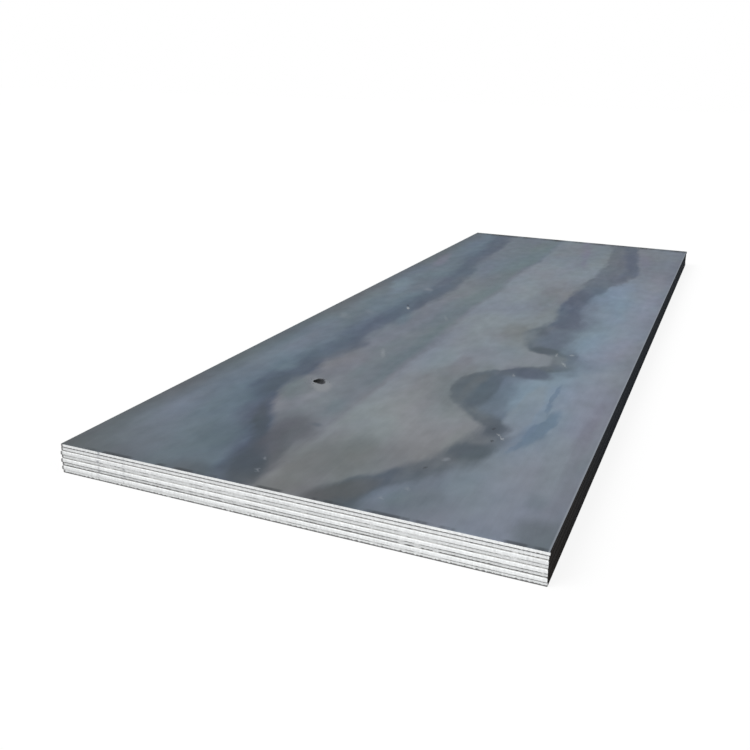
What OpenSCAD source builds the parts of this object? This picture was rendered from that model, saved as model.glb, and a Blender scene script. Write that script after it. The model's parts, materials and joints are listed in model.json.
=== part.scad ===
// Stack of hot-rolled steel plates, as it lies on a level floor.
// Every plate has rounded long edges, left by rolling, and short ends that a guillotine cut.
// The top plate has a hole that was burnt through it for a lifting hook.
// Origin: centre of the footprint, at floor level. +X runs across the plates, +Y along them, +Z up.

/* [Plate] */
// Width of a plate, over its rolled edges
plate_width = 2000; // [1000:50:2500]
// Length of a plate, between its sheared ends
plate_length = 6000; // [2500:100:12000]
// Thickness of a plate
plate_thickness = 16; // [10:1:30]

/* [Rolled long edges] */
// Radius that rolling leaves on the corners of the long edges
edge_radius = 2; // [1:0.5:7]

/* [Sheared ends] */
// Radius where the blade drew the upper face down
rollover_radius = 2; // [0.5:0.5:3]
// Height of the torn zone above the lower face
tear_height = 5; // [1:0.5:6]
// How far the torn zone leans in under the end
tear_depth = 1.2; // [0.2:0.2:3]

/* [Stack] */
// Air that scale and unevenness leave between two plates
plate_gap = 0.4; // [0.1:0.1:0.9]
// Furthest that a plate lies sideways from the middle of the stack
side_slip = 2; // [0:1:20]
// Furthest that a plate lies endways from the middle of the stack
end_slip = 4; // [0:1:20]

/* [Lifting hole] */
// Diameter of the hole through the top plate
hole_diameter = 50; // [20:1:80]
// From the left edge of the top plate to the middle of the hole
hole_from_side = 590; // [100:5:900]
// From the near end of the top plate to the middle of the hole
hole_from_end = 1170; // [100:5:2000]

/* [Hidden] */
NODES = [
    "top_plate", "second_plate", "third_plate", "fourth_plate",
    "fifth_plate", "sixth_plate", "seventh_plate", "bottom_plate"
];

// How each plate lies in the stack, from the top plate down: shares of side_slip and end_slip.
slip_shares = [
    [1.0, -0.45], [-0.8, 0.6], [-0.4, -1.0], [-1.0, 0.85],
    [-0.5, -0.9], [-0.9, 1.0], [-0.2, -0.4], [0.3, 0.95]
];

plate_count = len(NODES);
plate_pitch = plate_thickness + plate_gap;
// A rolled corner takes at most this share of the thickness.
rolled_corner_share = 0.45;
rolled_radius = min(edge_radius, rolled_corner_share * plate_thickness);
// Cutting shapes run this far past the faces that they cut.
overrun = 1;
scale_grey = "#6a747d";

// What is taken off to round a corner whose arc is centred on the origin, towards +X and +Y.
module corner_waste(radius) {
    difference() {
        square(radius + overrun);
        circle(r = radius, $fn = 64);
    }
}

// Section across the width: a flat bar with four rolled corners, standing on the X axis.
module rolled_section() {
    corner_x = plate_width / 2 - rolled_radius;
    corner_y = plate_thickness / 2 - rolled_radius;
    translate([0, plate_thickness / 2])
        difference() {
            square([plate_width, plate_thickness], center = true);
            for (side = [0, 1], face = [0, 1])
                mirror([side, 0])
                    mirror([0, face])
                        translate([corner_x, corner_y])
                            corner_waste(rolled_radius);
        }
}

// Outline along the length, standing on the X axis. At each sheared end the upper corner is
// drawn down, the blade left a plumb land below it, and the rest tore away under the land.
module sheared_outline() {
    end_x = plate_length / 2;
    difference() {
        polygon([
            [tear_depth - end_x, 0], [-end_x, tear_height], [-end_x, plate_thickness],
            [end_x, plate_thickness], [end_x, tear_height], [end_x - tear_depth, 0]
        ]);
        for (side = [0, 1])
            mirror([side, 0])
                translate([end_x - rollover_radius, plate_thickness - rollover_radius])
                    corner_waste(rollover_radius);
    }
}

// One plate with no hole, lying on its lower face, centred on the Z axis.
module plain_plate() {
    intersection() {
        rotate([90, 0, 0])
            linear_extrude(height = plate_length + 2 * overrun, center = true)
                rolled_section();
        rotate([90, 0, 90])
            linear_extrude(height = plate_width + 2 * overrun, center = true)
                sheared_outline();
    }
}

// The hole burnt through a plate, measured from the plate's own left edge and near end.
module lifting_hole() {
    translate([
        hole_from_side - plate_width / 2,
        hole_from_end - plate_length / 2,
        -overrun
    ])
        cylinder(d = hole_diameter, h = plate_thickness + 2 * overrun, $fn = 96);
}

// Moves a plate from the floor to its place in the stack. Level 0 is the top.
module at_level(level) {
    translate([
        slip_shares[level][0] * side_slip,
        slip_shares[level][1] * end_slip,
        (plate_count - 1 - level) * plate_pitch
    ])
        children();
}

// The top plate, with its lifting hole.
module top_plate() {
    color(scale_grey)
        at_level(0)
            difference() {
                plain_plate();
                lifting_hole();
            }
}

// Any plate below the top one.
module lower_plate(level) {
    color(scale_grey)
        at_level(level)
            plain_plate();
}

top_plate();
for (level = [1 : plate_count - 1])
    lower_plate(level);
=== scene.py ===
"""Dresses a stack of hot-rolled steel plates that lies on a plain pale floor.

Every plate of the frame is rebuilt with its rolled long edges and its sheared ends, where the
blade left a bright land above a torn zone. The top plate also gets the stains of its mill scale
and the hole that was burnt through it for a lifting hook.

Sizes are in metres, in the frame's own axes: +X across the plates, +Y along them, +Z up.
"""

import json
import logging
import math
import random
from dataclasses import dataclass, replace
from enum import Enum, IntEnum
from typing import Any, NamedTuple

import bmesh
import bpy
from mathutils import Matrix, Vector, noise

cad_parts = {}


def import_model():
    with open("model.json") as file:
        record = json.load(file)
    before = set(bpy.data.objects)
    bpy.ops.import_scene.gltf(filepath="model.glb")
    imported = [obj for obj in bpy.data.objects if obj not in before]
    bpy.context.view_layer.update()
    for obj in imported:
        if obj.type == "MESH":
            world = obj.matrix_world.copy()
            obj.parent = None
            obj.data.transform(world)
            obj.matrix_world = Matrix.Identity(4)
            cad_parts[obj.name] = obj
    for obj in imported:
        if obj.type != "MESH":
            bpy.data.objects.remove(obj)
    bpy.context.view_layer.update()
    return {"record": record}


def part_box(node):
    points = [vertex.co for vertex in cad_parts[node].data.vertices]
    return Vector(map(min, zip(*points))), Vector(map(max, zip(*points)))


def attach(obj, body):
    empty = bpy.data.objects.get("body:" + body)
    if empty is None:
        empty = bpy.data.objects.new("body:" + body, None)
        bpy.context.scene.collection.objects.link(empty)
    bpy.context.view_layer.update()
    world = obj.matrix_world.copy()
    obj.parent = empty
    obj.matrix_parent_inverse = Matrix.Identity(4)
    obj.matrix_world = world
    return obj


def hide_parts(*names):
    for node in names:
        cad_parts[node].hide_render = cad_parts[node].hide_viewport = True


Colour = tuple[float, float, float]
Span = tuple[float, float]
Line = tuple[Span, ...]
Socket = bpy.types.NodeSocket
Value = float | Socket

LOG = logging.getLogger("plate_stack")
BODY = "root"
HOLE_MOUNT = "lifting_hole"
# Points this near to a face of a plate's box belong to that face.
TOUCH = 1e-6
# A face looks along an axis when its normal has more than this share there.
FACES_ALONG = 0.5
# An edge runs along an axis when more than this share of its length does.
RUNS_ALONG = 0.9
MM_PER_M = 1000.0


class Level(Enum):
    """The plates of the stack by their frame nodes, from the top down."""

    TOP = "top_plate"
    SECOND = "second_plate"
    THIRD = "third_plate"
    FOURTH = "fourth_plate"
    FIFTH = "fifth_plate"
    SIXTH = "sixth_plate"
    SEVENTH = "seventh_plate"
    BOTTOM = "bottom_plate"


class Zone(IntEnum):
    """Parts of a plate's skin, in the order of its material slots."""

    FACE = 0
    LAND = 1
    TORN = 2
    ROLLED = 3
    BURNT = 4


class MixSocket(IntEnum):
    """Numbers of a Mix node's sockets for colours."""

    SHARE = 0
    BELOW = 6
    ABOVE = 7
    RESULT = 2


class Grain(NamedTuple):
    """A random pattern: its features per metre along each axis, and its finer layers.

    A low number of features stretches the pattern along that axis.
    """

    across: float
    along: float
    up: float
    layers: float = 4.0


class NodeGraph:
    """The shader nodes of one material or sky, with short ways to add and link them."""

    def __init__(self, tree: bpy.types.NodeTree) -> None:
        """Starts from an empty node tree."""
        self.tree = tree
        self.tree.nodes.clear()

    def add(self, kind: str, inputs: dict[Any, Any], **settings: Any) -> bpy.types.Node:
        """Adds a node.

        Args:
            kind: The node's type name.
            inputs: What feeds the inputs, by an input's name or number.
            settings: Properties of the node, by name.

        Returns:
            The new node.
        """
        node = self.tree.nodes.new(kind)
        for name, value in settings.items():
            setattr(node, name, value)
        for key, value in inputs.items():
            self.feed(node.inputs[key], value)
        return node

    def feed(self, socket: Socket, value: Any) -> None:
        """Feeds an input.

        Args:
            socket: The input.
            value: Another node's output to link to it, or a constant to set it to.
        """
        if isinstance(value, bpy.types.NodeSocket):
            self.tree.links.new(value, socket)
        elif socket.type == "RGBA":
            socket.default_value = (*value, 1.0)
        else:
            socket.default_value = value

    def place(self) -> Socket:
        """Returns the surface point in the frame's own metres."""
        return self.add("ShaderNodeTexCoord", {}).outputs["Object"]

    def split(self, vector: Socket) -> list[Socket]:
        """Returns a vector's X, Y and Z."""
        return list(self.add("ShaderNodeSeparateXYZ", {0: vector}).outputs)

    def join(self, x: Value, y: Value, z: Value) -> Socket:
        """Returns a vector made of X, Y and Z."""
        return self.add("ShaderNodeCombineXYZ", {0: x, 1: y, 2: z}).outputs[0]

    def math(self, operation: str, *values: Value) -> Socket:
        """Returns the result of a Math node on one to three values."""
        return self.add("ShaderNodeMath", dict(enumerate(values)), operation=operation).outputs[0]

    def vector(self, operation: str, first: Socket, second: Any) -> Socket:
        """Returns the vector that a Vector Math node makes of two vectors."""
        return self.add("ShaderNodeVectorMath", {0: first, 1: second}, operation=operation).outputs[0]

    def brighten(self, colour: Any, factor: Value) -> Socket:
        """Returns a colour times a factor."""
        inputs = {0: colour, "Scale": factor}
        return self.add("ShaderNodeVectorMath", inputs, operation="SCALE").outputs[0]

    def vary(self, colour: Any, pattern: Socket, spread: float) -> Socket:
        """Returns a colour that a pattern makes darker and brighter by up to a spread."""
        return self.brighten(colour, self.between(pattern, 1.0 - spread, 1.0 + spread))

    def fade(self, value: Value, start: float, end: float, full: float = 1.0) -> Socket:
        """Adds a soft step.

        Args:
            value: What the step depends on.
            start: The value at which the step is still 0.
            end: The value at which the step is full; it may be lower than start.
            full: The height of the step.

        Returns:
            A share from 0 to full.
        """
        inputs = dict(enumerate((value, start, end, 0.0, full)))
        step = self.add("ShaderNodeMapRange", inputs, interpolation_type="SMOOTHSTEP", clamp=False)
        return step.outputs[0]

    def between(self, share: Value, low: float, high: float) -> Socket:
        """Returns the value at a share of the way from low to high."""
        inputs = dict(enumerate((share, 0.0, 1.0, low, high)))
        return self.add("ShaderNodeMapRange", inputs, clamp=False).outputs[0]

    def blend(self, share: Value, below: Any, above: Any) -> Socket:
        """Returns a colour that goes from below to above as share goes from 0 to 1."""
        inputs = {MixSocket.SHARE: share, MixSocket.BELOW: below, MixSocket.ABOVE: above}
        return self.add("ShaderNodeMix", inputs, data_type="RGBA").outputs[MixSocket.RESULT]

    def grain(self, place: Socket, grain: Grain) -> Socket:
        """Adds soft random variation.

        Args:
            place: The point on the surface.
            grain: The pattern.

        Returns:
            A share that stays mostly between 0.3 and 0.7.
        """
        stretched = self.vector("MULTIPLY", place, (grain.across, grain.along, grain.up))
        inputs = {"Vector": stretched, "Scale": 1.0, "Detail": grain.layers}
        return self.add("ShaderNodeTexNoise", inputs).outputs[0]

    def waver(self, place: Socket, grain: Grain, value: Socket, reach: float) -> Socket:
        """Lets a value stray from place to place.

        Args:
            place: The point on the surface.
            grain: The pattern of the straying.
            value: The plain value.
            reach: How far the value strays to either side at most.

        Returns:
            The straying value.
        """
        stray = self.math("SUBTRACT", self.grain(place, grain), 0.5)
        return self.math("MULTIPLY_ADD", stray, 2.0 * reach, value)

    def line(self, along: Socket, points: Line, length: float, span: float) -> Socket:
        """Follows a smooth line drawn along the plate.

        Args:
            along: The distance along the plate.
            points: Pairs of distance and value.
            length: The greatest distance.
            span: The greatest value.

        Returns:
            The line's value at that distance.
        """
        share = self.math("DIVIDE", along, length)
        node = self.add("ShaderNodeFloatCurve", {"Value": share})
        curve = node.mapping.curves[0]
        while len(curve.points) < len(points):
            curve.points.new(0.5, 0.5)
        for point, (distance, value) in zip(curve.points, points):
            point.location = (distance / length, value / span)
            point.handle_type = "AUTO_CLAMPED"
        node.mapping.update()
        return self.math("MULTIPLY", node.outputs[0], span)

    def surface(self, colour: Socket, roughness: Socket, relief: Socket, depth: float,
                metallic: float, gloss: float) -> None:
        """Ends the graph in a shader.

        Args:
            colour: Base colour.
            roughness: Roughness.
            relief: Height of the fine relief, as a share of its depth.
            depth: Depth of the fine relief.
            metallic: How far the surface reflects as bare metal.
            gloss: Strength of the clear reflection of a surface that isn't bare metal.
        """
        bump = self.add("ShaderNodeBump", {"Distance": depth, "Height": relief})
        inputs = {
            "Base Color": colour,
            "Roughness": roughness,
            "Metallic": metallic,
            "Specular IOR Level": gloss,
            "Normal": bump.outputs[0],
        }
        shader = self.add("ShaderNodeBsdfPrincipled", inputs)
        self.add("ShaderNodeOutputMaterial", {"Surface": shader.outputs[0]})


@dataclass(frozen=True)
class Finish:
    """A surface finish that is made into a material once, on its first use."""

    name: str

    def material(self) -> bpy.types.Material:
        """Makes the finish's material, unless it is there already.

        Returns:
            The material.
        """
        made = bpy.data.materials.get(self.name)
        if made is None:
            made = bpy.data.materials.new(self.name)
            made.use_nodes = True
            self.paint(NodeGraph(made.node_tree))
        return made

    def paint(self, graph: NodeGraph) -> None:
        """Adds the finish's nodes to an empty graph."""
        raise NotImplementedError


@dataclass(frozen=True)
class PlainScale(Finish):
    """Mill scale on the broad faces of a lower plate, worn to bare metal along its ends."""

    near: float = 0.0
    far: float = 0.0
    pale: Colour = (0.150, 0.165, 0.180)
    dark: Colour = (0.085, 0.098, 0.110)
    pale_over: Span = (0.75, 1.25)
    cloud_grain: Grain = Grain(5.0, 1.5, 5.0)
    streak_grain: Grain = Grain(60.0, 1.2, 60.0, 3.0)
    bare: Colour = (0.72, 0.72, 0.71)
    bare_width: float = 0.011
    bare_core: float = 0.7
    bare_grain: Grain = Grain(40.0, 40.0, 1.0)
    bare_waver: float = 0.006
    grit_grain: Grain = Grain(400.0, 400.0, 400.0, 2.0)
    grit_spread: float = 0.2
    roughness: Span = (0.40, 0.75)
    gloss: float = 0.10
    relief_depth: float = 0.0003

    def paint(self, graph: NodeGraph) -> None:
        """Adds cloudy oxide with streaks along the rolling direction, and the bare strips.

        Args:
            graph: The empty graph.
        """
        place = graph.place()
        _, along, _ = graph.split(place)
        clouds = graph.grain(place, self.cloud_grain)
        streaks = graph.grain(place, self.streak_grain)
        grit = graph.grain(place, self.grit_grain)
        share = graph.fade(graph.math("ADD", clouds, streaks), *self.pale_over)
        colour = graph.blend(share, self.dark, self.pale)
        from_near = graph.math("SUBTRACT", along, self.near)
        from_far = graph.math("SUBTRACT", self.far, along)
        from_end = graph.math("MINIMUM", from_near, from_far)
        from_end = graph.waver(place, self.bare_grain, from_end, self.bare_waver)
        worn = graph.fade(from_end, self.bare_width, self.bare_core * self.bare_width)
        colour = graph.blend(worn, colour, self.bare)
        colour = graph.vary(colour, grit, self.grit_spread)
        roughness = graph.between(clouds, *self.roughness)
        graph.surface(colour, roughness, grit, self.relief_depth, 0.0, self.gloss)


@dataclass(frozen=True)
class FootShade:
    """Painted shade in dashes along the foot of a plate's end, where it meets the plate below or the
    floor.

    Its share is how much of the foot is shaded, and its drift how far that grows per metre towards the
    right.
    """

    share: float = 0.5
    height: float = 0.0022
    drift: float = 0.0
    colour: Colour = (0.06, 0.06, 0.062)
    foot: float = 0.0
    core: float = 0.5
    upper_grain: Grain = Grain(90.0, 1.0, 8.0)
    upper_waver: float = 0.9
    dash_grain: Grain = Grain(22.0, 1.0, 8.0, 3.0)
    stretch_grain: Grain = Grain(2.5, 1.0, 60.0)
    stretch_waver: float = 0.35
    shade_over: Span = (0.60, 0.75)

    def lay(self, graph: NodeGraph, place: Socket, plain_colour: Socket) -> Socket:
        """Lays dashes of painted shade along the foot.

        Args:
            graph: The material's nodes.
            place: The point on the surface.
            plain_colour: The colour without the painted shade.

        Returns:
            The shaded colour.
        """
        across, _, height = graph.split(place)
        above_foot = graph.math("SUBTRACT", height, self.foot)
        above_foot = graph.waver(place, self.upper_grain, above_foot, self.upper_waver * self.height)
        low = graph.fade(above_foot, self.height, self.core * self.height)
        dashes = graph.grain(place, self.dash_grain)
        dashes = graph.math("MULTIPLY_ADD", across, self.drift, dashes)
        dashes = graph.waver(place, self.stretch_grain, dashes, self.stretch_waver)
        start, end = (limit - 0.5 * self.share for limit in self.shade_over)
        # Painted shade: dark dashes close to the foot
        foot_shaded = graph.math("MULTIPLY", low, graph.fade(dashes, start, end))
        return graph.blend(foot_shaded, plain_colour, self.colour)


@dataclass(frozen=True)
class Corner:
    """Painted shade that darkens a plate's end towards the left, rub marks there, and a dark strip at
    its left corner that is partly oxide and partly painted shade between the plates' rounded corners.

    The rubs are given by their distances from the left corner.
    """

    left: float = 0.0
    # Painted shade: the end grows darker towards the left
    left_shade_share: float = 0.88
    left_shade_width: float = 2.0
    # Dark strip at the left corner: partly oxide, partly painted shade between the rounded corners
    colour: Colour = (0.17, 0.17, 0.17)
    width: float = 0.012
    core: float = 0.4
    rubs: tuple[float, ...] = ()
    rub_colour: Colour = (0.30, 0.31, 0.33)
    rub_half: float = 0.010
    rub_share: float = 0.85
    rub_grain: Grain = Grain(30.0, 1.0, 60.0)
    patch_grain: Grain = Grain(20.0, 1.0, 70.0, 3.0)
    patchy_over: Span = (0.38, 0.58)

    def lay(self, graph: NodeGraph, place: Socket, plain_colour: Socket) -> Socket:
        """Darkens the end towards the left with painted shade, and ends it in a strip of oxide and
        painted shade.

        Args:
            graph: The material's nodes.
            place: The point on the surface.
            plain_colour: The clean colour.

        Returns:
            The darkened colour.
        """
        across, _, _ = graph.split(place)
        from_left = graph.math("SUBTRACT", across, self.left)
        # Painted shade, darker towards the left
        share = graph.math("DIVIDE", from_left, self.left_shade_width)
        colour = graph.brighten(plain_colour, graph.between(share, self.left_shade_share, 1.0))
        wavering = graph.waver(place, self.rub_grain, from_left, self.rub_half)
        patches = graph.grain(place, self.patch_grain)
        patchy = graph.fade(patches, *self.patchy_over, self.rub_share)
        for rub in self.rubs:
            away = graph.math("ABSOLUTE", graph.math("SUBTRACT", wavering, rub))
            rubbed = graph.math("MULTIPLY", graph.fade(away, self.rub_half, 0.0), patchy)
            colour = graph.blend(rubbed, colour, self.rub_colour)
        # Dark corner strip: partly oxide, partly painted shade between the rounded corners
        oxide_and_shade = graph.fade(from_left, self.width, self.core * self.width)
        return graph.blend(oxide_and_shade, colour, self.colour)


@dataclass(frozen=True)
class ShearedLand(Finish):
    """Bright metal that the guillotine's blade burnished on a plate's end."""

    # Painted shade along the foot of the end
    foot_shade: FootShade = FootShade()
    corner: Corner = Corner()
    tone: float = 1.0
    bright: Colour = (0.83, 0.845, 0.85)
    dull: Colour = (0.67, 0.685, 0.69)
    bright_over: Span = (0.42, 0.78)
    mark_grain: Grain = Grain(500.0, 500.0, 20.0, 3.0)
    mark_share: float = 0.6
    stretch_grain: Grain = Grain(7.0, 7.0, 60.0, 3.0)
    bar_grain: Grain = Grain(110.0, 110.0, 9.0, 3.0)
    bar_spread: float = 0.24
    roughness: Span = (0.36, 0.60)
    metallic: float = 0.25
    gloss: float = 0.3
    relief_depth: float = 0.0002

    def paint(self, graph: NodeGraph) -> None:
        """Adds upright blade marks and broad dull stretches.

        Args:
            graph: The empty graph.
        """
        place = graph.place()
        marks = graph.grain(place, self.mark_grain)
        stretches = graph.grain(place, self.stretch_grain)
        share = graph.math("MULTIPLY_ADD", marks, self.mark_share, stretches)
        share = graph.fade(share, *self.bright_over)
        colour = graph.blend(share, self.dull, self.bright)
        colour = graph.brighten(colour, self.tone)
        colour = graph.vary(colour, graph.grain(place, self.bar_grain), self.bar_spread)
        # Painted shade along the foot, then the painted shade towards the left, the rubs and the corner
        # strip
        colour = self.foot_shade.lay(graph, place, colour)
        colour = self.corner.lay(graph, place, colour)
        roughness = graph.between(marks, *self.roughness)
        graph.surface(colour, roughness, marks, self.relief_depth, self.metallic, self.gloss)


@dataclass(frozen=True)
class TornSteel(Finish):
    """Rough break under the burnished land of a sheared end, with painted shade along its foot."""

    # Painted shade along the foot of the end
    foot_shade: FootShade = FootShade()
    corner: Corner = Corner()
    pale: Colour = (0.79, 0.80, 0.80)
    dark: Colour = (0.59, 0.60, 0.60)
    pale_over: Span = (0.50, 0.90)
    tear_grain: Grain = Grain(180.0, 180.0, 45.0)
    crystal_grain: Grain = Grain(700.0, 700.0, 700.0, 2.0)
    crystal_share: float = 0.5
    roughness: Span = (0.55, 0.80)
    metallic: float = 0.15
    gloss: float = 0.2
    relief_depth: float = 0.0005

    def paint(self, graph: NodeGraph) -> None:
        """Adds a coarse break with upright tears.

        Args:
            graph: The empty graph.
        """
        place = graph.place()
        tears = graph.grain(place, self.tear_grain)
        crystals = graph.grain(place, self.crystal_grain)
        share = graph.math("MULTIPLY_ADD", crystals, self.crystal_share, tears)
        share = graph.fade(share, *self.pale_over)
        colour = graph.blend(share, self.dark, self.pale)
        # Painted shade along the foot, then the painted shade towards the left, the rubs and the corner
        # strip
        colour = self.foot_shade.lay(graph, place, colour)
        colour = self.corner.lay(graph, place, colour)
        roughness = graph.between(tears, *self.roughness)
        graph.surface(colour, roughness, tears, self.relief_depth, self.metallic, self.gloss)


@dataclass(frozen=True)
class RolledOxideAndShade(Finish):
    """Near-black oxide on the long edges, browner towards the near end; the blackness is partly painted
    shade of the shaded right side.
    """

    # Partly painted shade: darker than the oxide alone
    black: Colour = (0.024, 0.028, 0.034)
    brown: Colour = (0.030, 0.027, 0.025)
    worn: Colour = (0.055, 0.058, 0.062)
    brown_until: float = -2.2
    brown_reach: float = 2.0
    worn_over: Span = (0.33, 0.52)
    patch_grain: Grain = Grain(9.0, 3.0, 60.0)
    grit_grain: Grain = Grain(260.0, 120.0, 260.0, 3.0)
    roughness: Span = (0.80, 0.98)
    gloss: float = 0.02
    relief_depth: float = 0.0004

    def paint(self, graph: NodeGraph) -> None:
        """Adds rust tint, grit and lengthwise wear.

        Args:
            graph: The empty graph.
        """
        place = graph.place()
        _, along, _ = graph.split(place)
        patches = graph.grain(place, self.patch_grain)
        grit = graph.grain(place, self.grit_grain)
        drift = graph.math("MULTIPLY_ADD", patches, self.brown_reach, along)
        rusty = graph.fade(drift, self.brown_until + self.brown_reach, self.brown_until)
        colour = graph.blend(rusty, self.black, self.brown)
        rubbed = graph.fade(graph.math("MULTIPLY", patches, grit), *self.worn_over)
        colour = graph.blend(rubbed, colour, self.worn)
        roughness = graph.between(grit, *self.roughness)
        graph.surface(colour, roughness, grit, self.relief_depth, 0.0, self.gloss)


@dataclass(frozen=True)
class BurntSteel(Finish):
    """Wall of the burnt hole and the slag beads round it."""

    slag: Colour = (0.030, 0.032, 0.034)
    heat: Colour = (0.070, 0.074, 0.080)
    heat_over: Span = (0.40, 0.62)
    drag_grain: Grain = Grain(320.0, 320.0, 25.0, 3.0)
    roughness: Span = (0.45, 0.75)
    gloss: float = 0.3
    relief_depth: float = 0.0008

    def paint(self, graph: NodeGraph) -> None:
        """Adds the torch's upright drag lines.

        Args:
            graph: The empty graph.
        """
        place = graph.place()
        drag = graph.grain(place, self.drag_grain)
        colour = graph.blend(graph.fade(drag, *self.heat_over), self.slag, self.heat)
        roughness = graph.between(drag, *self.roughness)
        graph.surface(colour, roughness, drag, self.relief_depth, 0.0, self.gloss)


@dataclass(frozen=True)
class Streak:
    """A long stain that follows a course along the plate.

    The course and the strength are runs of pairs: the distance from the near end, and a value
    there. The course's values are measured from the left edge. The core is the share of each
    reach over which the stain keeps its full strength.
    """

    colour: Colour
    course: Line
    left_reach: float
    right_reach: float
    strength: Line
    shift: float = 0.0
    core: float = 0.0

    def mask(self, graph: NodeGraph, offset: Socket, along: Socket, length: float) -> Socket:
        """Works out how strongly the stain shows.

        Args:
            graph: The material's nodes.
            offset: Distance to the right of the course.
            along: Distance from the near end.
            length: Length of the plate.

        Returns:
            A share from 0 to 1.
        """
        left_core = self.core * self.left_reach
        right_core = self.core * self.right_reach
        left = graph.fade(offset, self.shift - self.left_reach, self.shift - left_core)
        right = graph.fade(offset, self.shift + self.right_reach, self.shift + right_core)
        strength = graph.line(along, self.strength, length, 1.0)
        return graph.math("MULTIPLY", graph.math("MULTIPLY", left, right), strength)


@dataclass(frozen=True)
class Patch:
    """A cloud, spot or scuff on the mill scale.

    Its middle is given from the plate's left edge and near end, and its two half sizes along
    its own axes, the first of which points across the plate until it is turned. The core is
    the share of its reach over which it keeps its full strength.
    """

    colour: Colour
    across: float
    along: float
    half_width: float
    half_length: float
    strength: float
    turn_deg: float = 0.0
    core: float = 0.1

    def mask(self, graph: NodeGraph, spot: Socket) -> Socket:
        """Works out how strongly the patch shows.

        Args:
            graph: The material's nodes.
            spot: The distances from the left edge and the near end.

        Returns:
            A share from 0 to 1.
        """
        inputs = {
            "Vector": spot,
            "Location": (self.across, self.along, 0.0),
            "Rotation": (0.0, 0.0, math.radians(self.turn_deg)),
            "Scale": (self.half_width, self.half_length, 1.0),
        }
        own = graph.add("ShaderNodeMapping", inputs, vector_type="TEXTURE")
        ball = graph.add("ShaderNodeTexGradient", {"Vector": own.outputs[0]}, gradient_type="SPHERICAL")
        return graph.fade(ball.outputs["Fac"], 0.0, 1.0 - self.core, self.strength)


@dataclass(frozen=True)
class Turn:
    """A change of the scale's colour between two distances."""

    start: float
    end: float
    colour: Colour


# Colours of the mill scale on the top plate
LEFT_BLUE: Colour = (0.144, 0.178, 0.210)
LEFT_FAR: Colour = (0.130, 0.166, 0.206)
LEFT_CLOUD: Colour = (0.166, 0.200, 0.246)
CORNER_GREEN: Colour = (0.130, 0.154, 0.172)
LEFT_PALE: Colour = (0.182, 0.236, 0.290)
DEEP_BLUE: Colour = (0.122, 0.164, 0.206)
DEEP_NEAR: Colour = (0.106, 0.138, 0.166)
BLUE_BLACK: Colour = (0.090, 0.111, 0.150)
WEDGE_BLACK: Colour = (0.072, 0.088, 0.104)
WEDGE_BROWN: Colour = (0.102, 0.110, 0.124)
OLIVE_GREY: Colour = (0.182, 0.196, 0.198)
BROWN_GREY: Colour = (0.156, 0.166, 0.172)
WARM_GREY: Colour = (0.222, 0.243, 0.260)
PURPLE_BROWN: Colour = (0.114, 0.121, 0.136)
MIDDLE_WARM: Colour = (0.190, 0.204, 0.226)
MIDDLE_GREY: Colour = (0.174, 0.196, 0.228)
MIDDLE_FAR: Colour = (0.142, 0.172, 0.208)
LAVENDER_GREY: Colour = (0.176, 0.187, 0.212)
CENTRE_GREY: Colour = (0.206, 0.238, 0.274)
CENTRE_FAR: Colour = (0.172, 0.200, 0.230)
FRINGE_BROWN: Colour = (0.166, 0.180, 0.192)
ARCH_BROWN: Colour = (0.122, 0.134, 0.148)
SLATE_BLACK: Colour = (0.086, 0.107, 0.131)
SLATE_BLUE: Colour = (0.094, 0.116, 0.158)
DIM_SLATE: Colour = (0.120, 0.140, 0.168)
SKIRT_BLUE: Colour = (0.126, 0.160, 0.208)
NEAR_BLUE: Colour = (0.141, 0.178, 0.208)
RIGHT_BLUE: Colour = (0.196, 0.254, 0.320)
RIGHT_LAVENDER: Colour = (0.214, 0.242, 0.296)
RIGHT_NEAR: Colour = (0.202, 0.232, 0.278)
RIGHT_FAR: Colour = (0.170, 0.190, 0.226)
LIGHT_PATCH: Colour = (0.204, 0.246, 0.292)
SWOOSH_BLUE: Colour = (0.138, 0.192, 0.260)
GREEN_GREY: Colour = (0.138, 0.177, 0.194)
PURPLE_GREY: Colour = (0.172, 0.182, 0.234)
PALE_SPOT: Colour = (0.262, 0.286, 0.322)
HALO_GREY: Colour = (0.262, 0.276, 0.292)
EDGE_GREY: Colour = (0.098, 0.108, 0.118)
FRONT_GREY: Colour = (0.102, 0.108, 0.114)
FAR_BLACK: Colour = (0.050, 0.056, 0.060)
BARE_STEEL: Colour = (0.480, 0.500, 0.510)
DARK_SPECK: Colour = (0.030, 0.032, 0.036)

# Tints that drift over the scale
WARM_TINT: Colour = (1.025, 1.000, 0.975)
COOL_TINT: Colour = (0.975, 1.000, 1.025)
GREEN_TINT: Colour = (0.985, 1.012, 0.990)
PURPLE_TINT: Colour = (1.015, 0.988, 1.010)

# Turns of the broad fields' colours along the plate; the lavender one goes across it
LEFT_TURNS = (Turn(3.0, 5.0, LEFT_FAR),)
MIDDLE_TURNS = (Turn(1.2, 2.2, MIDDLE_GREY), Turn(3.2, 4.8, MIDDLE_FAR))
CENTRE_TURNS = (Turn(0.6, 2.0, CENTRE_GREY), Turn(4.2, 5.6, CENTRE_FAR))
LAVENDER_TURNS = (Turn(1.66, 1.92, RIGHT_LAVENDER),)
RIGHT_TURNS = (Turn(1.0, 0.5, RIGHT_NEAR), Turn(3.9, 5.0, RIGHT_FAR))

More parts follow.
